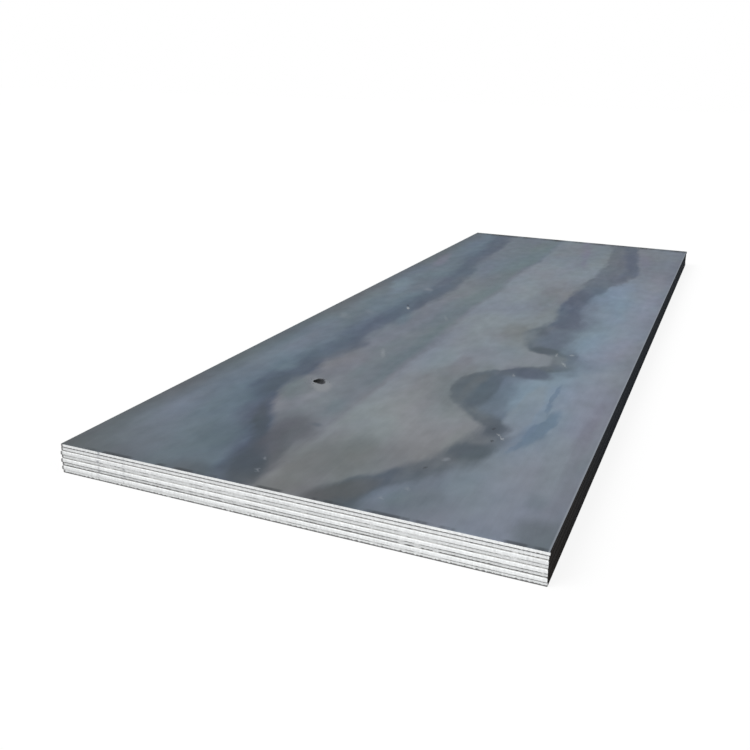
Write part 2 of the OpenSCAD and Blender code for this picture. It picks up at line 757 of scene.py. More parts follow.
# Courses of the stains, from the near end to the far end
LEFT_COURSE: Line = (
    (0.0, 0.80), (0.1, 0.79), (0.2, 0.77), (0.3, 0.73), (0.5, 0.64), (0.7, 0.55), (0.9, 0.455),
    (1.0, 0.42), (1.1, 0.41), (1.2, 0.42), (1.3, 0.46), (1.4, 0.44), (1.5, 0.42), (1.6, 0.44),
    (1.7, 0.46), (1.85, 0.485), (2.0, 0.45), (2.2, 0.43), (2.5, 0.47), (2.8, 0.48), (3.0, 0.49),
    (3.2, 0.51), (3.5, 0.52), (3.7, 0.49), (3.9, 0.475), (4.1, 0.47), (4.4, 0.42), (4.7, 0.39),
    (5.0, 0.40), (5.3, 0.39), (5.6, 0.36), (6.0, 0.31),
)
RIGHT_COURSE: Line = (
    (0.0, 1.20), (0.1, 1.21), (0.2, 1.25), (0.3, 1.33), (0.5, 1.47), (0.7, 1.53), (0.85, 1.56),
    (0.95, 1.565), (1.03, 1.51), (1.1, 1.44), (1.2, 1.36), (1.35, 1.305), (1.5, 1.29), (1.62, 1.31),
    (1.72, 1.37), (1.82, 1.48), (1.92, 1.59), (2.02, 1.64), (2.1, 1.63), (2.16, 1.57), (2.22, 1.50),
    (2.3, 1.45), (2.45, 1.40), (2.6, 1.395), (2.8, 1.47), (2.95, 1.485), (3.1, 1.465), (3.4, 1.435),
    (3.7, 1.44), (3.9, 1.475), (4.1, 1.50), (4.3, 1.57), (4.5, 1.645), (4.7, 1.68), (4.9, 1.665),
    (5.1, 1.64), (5.4, 1.60), (5.7, 1.555), (6.0, 1.50),
)
GREEN_COURSE: Line = (
    (0.0, 0.90), (2.0, 0.89), (2.9, 0.86), (3.5, 0.88), (4.2, 0.86), (5.0, 0.89), (6.0, 0.87),
)
DIM_COURSE: Line = ((0.0, 1.46), (4.0, 1.47), (4.5, 1.53), (5.0, 1.53), (5.5, 1.49), (6.0, 1.45))
PURPLE_COURSE: Line = ((0.0, 1.30), (4.6, 1.29), (5.0, 1.24), (5.4, 1.18), (5.8, 1.12), (6.0, 1.10))

# Long stains, the lowest first
STREAKS = (
    Streak(
        DEEP_BLUE, LEFT_COURSE, 0.40, 0.06,
        ((0.0, 0.9), (1.0, 0.9), (1.6, 0.6), (2.2, 0.8), (3.0, 0.6), (4.5, 0.6), (6.0, 0.6)),
        -0.04,
    ),
    Streak(
        BLUE_BLACK, LEFT_COURSE, 0.16, 0.09,
        ((0.0, 0.9), (0.6, 1.0), (1.3, 1.0), (1.5, 0.8), (1.62, 0.6), (1.85, 0.95), (2.05, 0.8),
         (2.6, 0.9), (3.15, 0.9), (3.5, 0.8), (4.0, 0.9), (4.7, 0.75), (5.3, 0.95), (6.0, 0.8)),
        core=0.25,
    ),
    Streak(
        GREEN_GREY, GREEN_COURSE, 0.22, 0.055,
        ((0.0, 0.0), (0.7, 0.0), (1.1, 0.3), (1.8, 0.9), (2.4, 0.9), (3.2, 0.8), (4.6, 0.9),
         (6.0, 1.0)),
        -0.05,
    ),
    Streak(
        FRINGE_BROWN, RIGHT_COURSE, 0.24, 0.10,
        ((0.0, 0.2), (0.4, 0.5), (0.7, 0.3), (0.95, 0.1), (1.2, 0.8), (1.6, 0.8), (1.95, 0.1),
         (2.2, 0.3), (2.55, 0.7), (2.9, 0.4), (3.4, 0.7), (3.9, 0.6), (4.3, 0.3), (6.0, 0.3)),
        -0.10,
    ),
    Streak(
        SKIRT_BLUE, RIGHT_COURSE, 0.12, 0.16,
        ((0.0, 0.6), (0.3, 0.5), (0.6, 0.3), (1.0, 0.5), (1.4, 1.0), (1.8, 0.7), (2.0, 0.5),
         (2.3, 0.9), (2.6, 1.0), (3.0, 0.6), (3.8, 0.4), (4.3, 0.0), (6.0, 0.0)),
        0.11,
    ),
    Streak(
        ARCH_BROWN, RIGHT_COURSE, 0.06, 0.08,
        ((0.0, 0.0), (1.05, 0.0), (1.2, 0.7), (1.5, 1.0), (1.65, 0.9), (1.8, 0.0), (6.0, 0.0)),
        -0.035, 0.5,
    ),
    Streak(
        SLATE_BLACK, RIGHT_COURSE, 0.10, 0.13,
        ((0.0, 0.95), (0.2, 0.95), (0.35, 0.9), (0.55, 0.7), (0.68, 1.0), (0.8, 0.7), (0.95, 0.9),
         (1.1, 0.8), (1.25, 0.5), (1.6, 0.5), (1.78, 0.9), (1.95, 0.7), (2.1, 0.4), (2.25, 0.9),
         (2.4, 0.5), (2.55, 0.6), (2.75, 0.7), (2.9, 0.0), (6.0, 0.0)),
        core=0.35,
    ),
    Streak(
        SLATE_BLUE, RIGHT_COURSE, 0.10, 0.13,
        ((0.0, 0.0), (2.6, 0.0), (2.8, 0.9), (2.95, 1.0), (3.5, 1.0), (4.0, 0.9), (4.3, 0.0),
         (6.0, 0.0)),
        core=0.4,
    ),
    Streak(
        DIM_SLATE, DIM_COURSE, 0.13, 0.15,
        ((0.0, 0.0), (3.8, 0.0), (4.15, 0.9), (4.5, 1.0), (6.0, 1.0)),
        core=0.6,
    ),
    Streak(
        SLATE_BLUE, RIGHT_COURSE, 0.13, 0.07,
        ((0.0, 0.0), (4.2, 0.2), (4.6, 0.85), (4.8, 0.9), (5.4, 0.95), (6.0, 0.7)),
        core=0.2,
    ),
    Streak(PURPLE_GREY, PURPLE_COURSE, 0.06, 0.06, ((0.0, 0.0), (4.4, 0.0), (5.0, 0.8), (6.0, 0.9))),
)

# Stains that lie over the streaks
OVERLAYS = (
    Patch(DEEP_NEAR, 0.53, 0.32, 0.13, 0.34, 0.6, 24.0, 0.2),
    Patch(WEDGE_BROWN, 0.78, 0.34, 0.10, 0.28, 0.85, 22.0, 0.45),
    Patch(WEDGE_BLACK, 0.605, 0.56, 0.055, 0.42, 0.75, 24.0, 0.3),
    Patch(WEDGE_BLACK, 0.41, 1.06, 0.06, 0.24, 0.45, 6.0, 0.3),
    Patch(WEDGE_BLACK, 0.78, 0.15, 0.11, 0.24, 0.95, 20.0, 0.4),
    Patch(WEDGE_BLACK, 0.63, 0.03, 0.10, 0.10, 0.5),
    Patch(PALE_SPOT, 1.37, 0.93, 0.09, 0.18, 0.35, -20.0),
    Patch(GREEN_GREY, 0.78, 5.40, 0.11, 0.55, 0.9, 0.0, 0.3),
    Patch(FRONT_GREY, 1.20, 0.10, 0.09, 0.24, 0.9, -32.0, 0.3),
    Patch(SKIRT_BLUE, 1.43, 1.45, 0.14, 0.28, 0.8, 0.0, 0.4),
    Patch(SKIRT_BLUE, 1.50, 2.50, 0.14, 0.34, 0.9, 0.0, 0.3),
    Patch(SKIRT_BLUE, 1.665, 2.15, 0.045, 0.20, 0.85, 5.0, 0.3),
    Patch(SLATE_BLUE, 1.49, 2.48, 0.16, 0.32, 0.35, 0.0, 0.3),
    Patch(SLATE_BLUE, 1.63, 1.96, 0.05, 0.08, 0.5),
    Patch(SLATE_BLACK, 1.53, 0.66, 0.10, 0.17, 0.9, -25.0, 0.3),
    Patch(SLATE_BLACK, 1.372, 1.43, 0.088, 0.36, 0.85, 0.0, 0.45),
    Patch(SKIRT_BLUE, 1.47, 1.20, 0.07, 0.15, 0.5, -15.0),
    Patch(ARCH_BROWN, 1.31, 1.48, 0.05, 0.28, 0.7, 0.0, 0.3),
    Patch(SLATE_BLUE, 1.52, 1.79, 0.16, 0.11, 0.9, -20.0, 0.4),
    Patch(SLATE_BLACK, 1.50, 2.24, 0.10, 0.09, 0.95, 0.0, 0.4),
    Patch(SLATE_BLACK, 1.40, 2.60, 0.05, 0.15, 0.7),
    Patch(SLATE_BLUE, 1.49, 2.94, 0.085, 0.26, 0.9, 0.0, 0.4),
    Patch(DEEP_BLUE, 0.54, 2.50, 0.06, 0.24, 0.6, 8.0),
    Patch(PALE_SPOT, 0.40, 3.36, 0.05, 0.09, 0.35, 20.0),
    Patch(LIGHT_PATCH, 1.625, 1.25, 0.085, 0.42, 0.95, 0.0, 0.65),
    Patch(SLATE_BLACK, 1.57, 0.96, 0.06, 0.10, 0.9, -10.0, 0.3),
    Patch(SWOOSH_BLUE, 1.738, 1.06, 0.040, 0.30, 0.85, -7.0, 0.55),
    Patch(SWOOSH_BLUE, 1.690, 0.82, 0.012, 0.14, 0.7, -9.0, 0.4),
    Patch(SWOOSH_BLUE, 1.718, 1.46, 0.014, 0.28, 0.8, 2.0, 0.5),
)

# Clouds that lie under the streaks
CLOUDS = (
    Patch(CORNER_GREEN, 0.12, 0.02, 0.48, 0.42, 0.6),
    Patch(LEFT_CLOUD, 0.17, 0.52, 0.15, 0.34, 0.8),
    Patch(LEFT_CLOUD, 0.20, 1.62, 0.15, 0.48, 1.0),
    Patch(LEFT_CLOUD, 0.18, 2.10, 0.13, 0.36, 0.9, 0.0, 0.3),
    Patch(PALE_SPOT, 0.17, 2.40, 0.05, 0.11, 0.45, 25.0),
    Patch(PALE_SPOT, 0.28, 2.58, 0.05, 0.09, 0.35, 25.0),
    Patch(LEFT_PALE, 0.18, 3.40, 0.11, 0.42, 0.85, 12.0, 0.2),
    Patch(PURPLE_GREY, 0.13, 4.50, 0.08, 0.42, 0.8, 8.0, 0.3),
    Patch(CORNER_GREEN, 0.12, 5.65, 0.14, 0.40, 0.5),
    Patch(OLIVE_GREY, 0.98, 0.18, 0.16, 0.32, 0.9),
    Patch(BROWN_GREY, 1.10, 0.40, 0.33, 0.44, 0.95, -20.0, 0.15),
    Patch(WARM_GREY, 1.20, 0.92, 0.30, 0.42, 0.9),
    Patch(WARM_GREY, 0.66, 0.98, 0.08, 0.18, 0.4, 30.0),
    Patch(GREEN_GREY, 0.54, 1.03, 0.09, 0.24, 0.6, 15.0, 0.3),
    Patch(PURPLE_BROWN, 0.76, 0.56, 0.17, 0.29, 0.95, 20.0, 0.15),
    Patch(SLATE_BLACK, 0.834, 0.648, 0.05, 0.035, 0.45, 12.0),
    Patch(GREEN_GREY, 0.82, 0.90, 0.09, 0.24, 0.6),
    Patch(LAVENDER_GREY, 0.58, 1.35, 0.11, 0.45, 0.8),
    Patch(PALE_SPOT, 0.93, 1.60, 0.05, 0.22, 0.25),
    Patch(LAVENDER_GREY, 1.12, 1.62, 0.11, 0.30, 0.5),
    Patch(LAVENDER_GREY, 1.14, 1.78, 0.07, 0.22, 0.5, 0.0, 0.4),
    Patch(FRINGE_BROWN, 1.24, 2.62, 0.12, 0.30, 0.4, 10.0),
    Patch(MIDDLE_GREY, 1.21, 3.64, 0.11, 0.48, 0.95, 4.0, 0.3),
    Patch(PALE_SPOT, 1.00, 3.60, 0.12, 0.55, 0.15),
    Patch(LIGHT_PATCH, 1.68, 0.34, 0.20, 0.30, 0.75, 0.0, 0.3),
    Patch(NEAR_BLUE, 1.48, 0.16, 0.20, 0.32, 0.9, -20.0),
    Patch(GREEN_GREY, 1.40, 0.15, 0.08, 0.15, 0.8, -20.0),
    Patch(LIGHT_PATCH, 1.58, 0.33, 0.11, 0.17, 0.8, -10.0),
    Patch(CORNER_GREEN, 1.94, 0.09, 0.15, 0.19, 0.9, 0.0, 0.3),
    Patch(NEAR_BLUE, 1.89, 0.33, 0.07, 0.12, 0.5),
    Patch(PURPLE_GREY, 1.93, 1.05, 0.05, 0.70, 0.5, 0.0, 0.3),
    Patch(PURPLE_GREY, 1.71, 5.30, 0.06, 0.45, 0.6, 6.0),
    Patch(RIGHT_LAVENDER, 1.84, 1.75, 0.12, 0.50, 0.7),
    Patch(RIGHT_BLUE, 1.70, 3.20, 0.15, 0.95, 0.8),
)

# Scuffs, specks and spots that lie over everything
SCUFFS = (
    Patch(HALO_GREY, 0.625, 1.13, 0.060, 0.13, 0.7, 34.0, 0.5),
    Patch(FAR_BLACK, 0.33, 5.95, 0.14, 0.07, 0.75, 0.0, 0.2),
    Patch(FAR_BLACK, 0.80, 5.96, 0.16, 0.06, 0.65),
    Patch(FAR_BLACK, 1.46, 5.96, 0.14, 0.05, 0.65),
    Patch(DARK_SPECK, 0.600, 1.175, 0.028, 0.050, 0.95, 33.0, 0.75),
    Patch(BARE_STEEL, 0.465, 2.775, 0.012, 0.05, 0.7, 24.0),
    Patch(DARK_SPECK, 0.440, 2.845, 0.010, 0.04, 0.6, 24.0),
    Patch(BARE_STEEL, 0.697, 1.765, 0.020, 0.13, 0.16, 22.0),
    Patch(BARE_STEEL, 0.770, 2.65, 0.014, 0.09, 0.12, 24.0),
    Patch(BARE_STEEL, 1.645, 2.025, 0.010, 0.07, 0.35, 25.0),
    Patch(BARE_STEEL, 1.575, 2.18, 0.009, 0.05, 0.30, 5.0),
    Patch(BARE_STEEL, 1.655, 2.215, 0.018, 0.016, 0.25, 10.0, 0.6),
    Patch(BARE_STEEL, 1.590, 0.890, 0.006, 0.035, 0.4, 35.0),
    Patch(BARE_STEEL, 1.612, 0.862, 0.006, 0.030, 0.4, 30.0),
    Patch(DARK_SPECK, 1.580, 0.815, 0.008, 0.02, 0.6, 20.0),
    Patch(DARK_SPECK, 1.550, 0.95, 0.010, 0.025, 0.5),
    Patch(DARK_SPECK, 1.414, 0.438, 0.008, 0.018, 0.5),
    Patch(PALE_SPOT, 1.465, 0.55, 0.020, 0.030, 0.4),
    Patch(BARE_STEEL, 1.447, 1.72, 0.010, 0.035, 0.25, 20.0),
    Patch(PALE_SPOT, 0.842, 0.13, 0.014, 0.025, 0.5, 30.0),
    Patch(PALE_SPOT, 0.812, 0.24, 0.012, 0.025, 0.4, 30.0),
    Patch(PALE_SPOT, 1.36, 0.12, 0.012, 0.025, 0.4, 30.0),
    Patch(PALE_SPOT, 1.42, 0.23, 0.012, 0.025, 0.4, 30.0),
)


def lay_patches(graph: NodeGraph, colour: Socket, spot: Socket, patches: tuple[Patch, ...]) -> Socket:
    """Lays patches over a colour, one after the other.

    Args:
        graph: The material's nodes.
        colour: The colour under the patches.
        spot: The distances from the left edge and the near end.
        patches: The patches, the lowest first.

    Returns:
        The patched colour.
    """
    for patch in patches:
        colour = graph.blend(patch.mask(graph, spot), colour, patch.colour)
    return colour


def turn_colour(graph: NodeGraph, colour: Any, distance: Socket, turns: tuple[Turn, ...]) -> Any:
    """Changes a field's colour along a distance.

    Args:
        graph: The material's nodes.
        colour: The colour before the first turn.
        distance: What the turns depend on.
        turns: The changes, in their order.

    Returns:
        The changing colour.
    """
    for turn in turns:
        colour = graph.blend(graph.fade(distance, turn.start, turn.end), colour, turn.colour)
    return colour


@dataclass(frozen=True)
class Borders:
    """Darker scale along the top plate's edges and ends, and painted shade along the near rim.

    The near end's border fades out towards the right. Along its rim runs a broken black line of painted
    shade, where the edge rolls over. The far end's border is patchy.
    """

    left_width: float = 0.16
    left_strength: float = 0.65
    right_width: float = 0.12
    right_strength: float = 0.25
    near_width: float = 0.16
    near_strength: float = 0.35
    near_until: Span = (1.8, 1.3)
    # Painted shade along the near rim, broken into flecks
    lip_shade_over: Span = (0.026, 0.010)
    fleck_grain: Grain = Grain(6.0, 1.0, 1.0, 6.0)
    fleck_over: Span = (0.46, 0.56)
    lip_shade_strength: float = 0.7
    dash_grain: Grain = Grain(7.0, 1.0, 1.0, 2.0)
    dash_over: Span = (0.40, 0.60)
    dash_strength: float = 0.85
    far_over: Span = (0.14, 0.03)
    far_grain: Grain = Grain(13.0, 1.0, 1.0)
    far_waver: float = 0.06

    def lay(self, graph: NodeGraph, colour: Socket, across: Socket, along: Socket, size: Span) -> Socket:
        """Darkens the scale along the edges and the ends, and paints shade along the near rim.

        Args:
            graph: The material's nodes.
            colour: The stained scale.
            across: Wavering distance from the left edge.
            along: Distance from the near end.
            size: The plate's width and length.

        Returns:
            The colour with its borders.
        """
        width, length = size
        left = graph.fade(across, self.left_width, 0.0, self.left_strength)
        right = graph.fade(across, width - self.right_width, width, self.right_strength)
        near = graph.fade(along, self.near_width, 0.0)
        near = graph.math("MULTIPLY", near, graph.fade(across, *self.near_until, self.near_strength))
        rim = graph.join(across, 0.0, 0.0)
        lip_shade_breaks = graph.grain(rim, self.fleck_grain)
        lip_shade_breaks = graph.fade(lip_shade_breaks, *self.fleck_over, self.lip_shade_strength)
        # Painted shade along the near rim, where the edge rolls over, broken into flecks
        lip = graph.math("MULTIPLY", graph.fade(along, *self.lip_shade_over), lip_shade_breaks)
        dashes = graph.grain(rim, self.dash_grain)
        dashes = graph.fade(dashes, *self.dash_over, self.dash_strength)
        from_far = graph.math("SUBTRACT", length, along)
        from_far = graph.waver(rim, self.far_grain, from_far, self.far_waver)
        far = graph.math("MULTIPLY", graph.fade(from_far, *self.far_over), dashes)
        colour = graph.blend(left, colour, EDGE_GREY)
        colour = graph.blend(right, colour, EDGE_GREY)
        colour = graph.blend(near, colour, FRONT_GREY)
        colour = graph.blend(lip, colour, FAR_BLACK)
        return graph.blend(far, colour, FAR_BLACK)


@dataclass(frozen=True)
class Wear:
    """The worn right edge of the top plate with its painted highlight, its scuffs and the scorched
    ground of its hole.

    The pale rim, partly wear and partly a painted highlight where the rounded edge catches the light,
    runs between two distances from the right edge.
    """

    ragged_grain: Grain = Grain(70.0, 70.0, 1.0, 5.0)
    ragged_reach: float = 0.03
    # Pale rim: partly wear, partly painted highlight
    rim: Span = (0.011, 0.005)
    rim_highlight_strength: float = 0.75

    def lay(self, graph: NodeGraph, colour: Socket, across: Socket, along: Socket,
            width: float) -> Socket:
        """Lays the marks of handling over the scale, and the painted highlight along the right edge.

        Args:
            graph: The material's nodes.
            colour: The stained scale.
            across: Distance from the left edge.
            along: Distance from the near end.
            width: The plate's width.

        Returns:
            The marked colour.
        """
        ragged = graph.grain(graph.join(across, along, 0.0), self.ragged_grain)
        jitter = graph.math("MULTIPLY", graph.math("SUBTRACT", ragged, 0.5), self.ragged_reach)
        spot = graph.join(graph.math("ADD", across, jitter), graph.math("ADD", along, jitter), 0.0)
        # Pale rim along the right edge: partly wear, partly painted highlight
        start, end = (width - inset for inset in self.rim)
        worn = graph.fade(across, start, end, self.rim_highlight_strength)
        colour = graph.blend(worn, colour, PALE_SPOT)
        return lay_patches(graph, colour, spot, SCUFFS)


@dataclass(frozen=True)
class StainedScale(Finish):
    """Mill scale on the top plate, stained by water and worn by handling."""

    left: float = 0.0
    near: float = 0.0
    width: float = 2.0
    length: float = 6.0
    borders: Borders = Borders()
    wear: Wear = Wear()
    roughness: Span = (0.55, 0.90)
    gloss: float = 0.02
    relief_depth: float = 0.0003
    # How the outlines of the stains stray
    bend_grain: Grain = Grain(8.0, 2.5, 1.0)
    bend_reach: float = 0.04
    fray_grain: Grain = Grain(28.0, 8.0, 1.0)
    fray_reach: float = 0.02
    slide_grain: Grain = Grain(5.0, 3.0, 1.0)
    slide_reach: float = 0.06
    # How the streaks change in width and in strength
    ragged_grain: Grain = Grain(10.0, 3.0, 1.0, 5.0)
    ragged_widths: Span = (0.5, 1.5)
    thin_grain: Grain = Grain(14.0, 4.0, 1.0, 5.0)
    thin_over: Span = (0.36, 0.60)
    thin_strengths: Span = (0.82, 1.0)
    # Where the broad fields meet, from the courses between them
    left_join: Span = (-0.03, 0.05)
    green_join: Span = (-0.02, 0.03)
    right_join: Span = (-0.02, 0.10)
    # Drifting tints
    warm_grain: Grain = Grain(2.6, 1.1, 1.0, 3.0)
    hue_grain: Grain = Grain(4.2, 1.6, 1.0, 3.0)
    tint_over: Span = (0.35, 0.65)
    # Lighter and darker scale; the spreads are those of the four patterns in their order
    mottle_grain: Grain = Grain(3.4, 1.7, 1.0)
    blotch_grain: Grain = Grain(16.0, 8.0, 1.0)
    rolled_grain: Grain = Grain(90.0, 1.0, 1.0, 3.0)
    grit_grain: Grain = Grain(350.0, 350.0, 350.0, 2.0)
    spreads: tuple[float, ...] = (0.18, 0.18, 0.05, 0.10)

    def paint(self, graph: NodeGraph) -> None:
        """Lays the broad colours, then the clouds, streaks, borders, grain and scuffs.

        Args:
            graph: The empty graph.
        """
        place = graph.place()
        x, y, _ = graph.split(place)
        plain_across = graph.math("SUBTRACT", x, self.left)
        plain_along = graph.math("SUBTRACT", y, self.near)
        across = graph.waver(place, self.bend_grain, plain_across, self.bend_reach)
        across = graph.waver(place, self.fray_grain, across, self.fray_reach)
        along = graph.waver(place, self.slide_grain, plain_along, self.slide_reach)
        spot = graph.join(across, along, 0.0)
        ragged = graph.between(graph.grain(place, self.ragged_grain), *self.ragged_widths)
        thin = graph.fade(graph.grain(place, self.thin_grain), *self.thin_over)
        thin = graph.between(thin, *self.thin_strengths)
        offsets: dict[Line, Socket] = {}
        for course in (LEFT_COURSE, RIGHT_COURSE, GREEN_COURSE, DIM_COURSE, PURPLE_COURSE):
            offset = graph.math("SUBTRACT", across, graph.line(along, course, self.length, self.width))
            offsets[course] = graph.math("MULTIPLY", offset, ragged)

        colour = self.ground(graph, across, along, offsets)
        colour = lay_patches(graph, colour, spot, CLOUDS)
        for streak in STREAKS:
            mask = streak.mask(graph, offsets[streak.course], along, self.length)
            colour = graph.blend(graph.math("MULTIPLY", mask, thin), colour, streak.colour)
        colour = lay_patches(graph, colour, spot, OVERLAYS)
        colour = self.borders.lay(graph, colour, across, plain_along, (self.width, self.length))

        tints = ((self.warm_grain, COOL_TINT, WARM_TINT), (self.hue_grain, PURPLE_TINT, GREEN_TINT))
        for grain, low, high in tints:
            share = graph.fade(graph.grain(place, grain), *self.tint_over)
            colour = graph.vector("MULTIPLY", colour, graph.blend(share, low, high))
        mottle = graph.grain(place, self.mottle_grain)
        blotch = graph.grain(place, self.blotch_grain)
        rolled = graph.grain(place, self.rolled_grain)
        grit = graph.grain(place, self.grit_grain)
        for pattern, spread in zip((mottle, blotch, rolled, grit), self.spreads):
            colour = graph.vary(colour, pattern, spread)
        colour = self.wear.lay(graph, colour, plain_across, plain_along, self.width)
        roughness = graph.between(graph.math("MULTIPLY", mottle, rolled), *self.roughness)
        graph.surface(colour, roughness, grit, self.relief_depth, 0.0, self.gloss)

    def ground(self, graph: NodeGraph, across: Socket, along: Socket,
               offsets: dict[Line, Socket]) -> Socket:
        """Lays the four broad fields that the main stains part.

        Args:
            graph: The material's nodes.
            across: Wavering distance from the left edge.
            along: Wavering distance from the near end.
            offsets: Distance to the right of each course.

        Returns:
            The colour of the fields.
        """
        left = turn_colour(graph, LEFT_BLUE, along, LEFT_TURNS)
        middle = turn_colour(graph, MIDDLE_WARM, along, MIDDLE_TURNS)
        centre = turn_colour(graph, WARM_GREY, along, CENTRE_TURNS)
        right = turn_colour(graph, RIGHT_BLUE, across, LAVENDER_TURNS)
        right = turn_colour(graph, right, along, RIGHT_TURNS)
        colour = graph.blend(graph.fade(offsets[LEFT_COURSE], *self.left_join), left, middle)
        colour = graph.blend(graph.fade(offsets[GREEN_COURSE], *self.green_join), colour, centre)
        return graph.blend(graph.fade(offsets[RIGHT_COURSE], *self.right_join), colour, right)


def corner_drops(radius: float, steps: int) -> list[float]:
    """Returns how far below the top of a rounded corner it is cut into strips."""
    angles = [math.pi / 2 * step / steps for step in range(steps)]
    return [radius * (1.0 - math.sin(angle)) for angle in angles]


def corner_inset(radius: float, past: float) -> float:
    """Returns how far a rounded corner stands back at a height past its start."""
    return radius - math.sqrt(max(radius**2 - past**2, 0.0))


@dataclass(frozen=True)
class RolledEdge:
    """Section of a plate's long edge, whose corners rolling has rounded."""

    radius: float = 0.002
    steps: int = 3
    waver: float = 0.0006
    waves: float = 3.0

    def rows(self, thickness: float) -> list[float]:
        """Returns the heights at which the edge is cut into strips."""
        drops = corner_drops(self.radius, self.steps)
        return drops + [thickness - drop for drop in drops]

    def inset(self, height: float, thickness: float) -> float:
        """Returns how far the section stands back from the plate's full width at a height."""
        past = max(self.radius - height, height - thickness + self.radius, 0.0)
        return corner_inset(self.radius, past)


@dataclass(frozen=True)
class ShearedEnd:
    """Section of a plate's short end: rollover on top, plumb land, torn zone below."""

    rollover: float = 0.002
    scale_on_rollover: bool = False
    tear_height: float = 0.005
    tear_depth: float = 0.0012
    steps: int = 3
    tear_waver: float = 0.5
    tear_waves: float = 24.0
    blade_waver: float = 0.0012
    blade_waves: float = 1.4
    fine_waver: float = 0.0004
    fine_waves: float = 12.0

    def rows(self, thickness: float) -> list[float]:
        """Returns the heights at which the end is cut into strips."""
        drops = corner_drops(self.rollover, self.steps)
        return [self.tear_height / 2, self.tear_height] + [thickness - drop for drop in drops]

    def inset(self, height: float, thickness: float) -> float:
        """Works out how far the section stands back from the plate's full length.

        Args:
            height: The height above the plate's foot.
            thickness: The plate's thickness.

        Returns:
            The distance.
        """
        rounded = corner_inset(self.rollover, max(height - thickness + self.rollover, 0.0))
        return rounded + self.tear_depth * max(1.0 - height / self.tear_height, 0.0)

    def zone(self, height: float, thickness: float) -> Zone:
        """Tells the kind of surface on the end.

        Args:
            height: The height above the plate's foot.
            thickness: The plate's thickness.

        Returns:
            The kind of surface there.
        """
        if self.scale_on_rollover and height > thickness - self.rollover:
            return Zone.FACE
        return Zone.LAND if height > self.tear_height else Zone.TORN


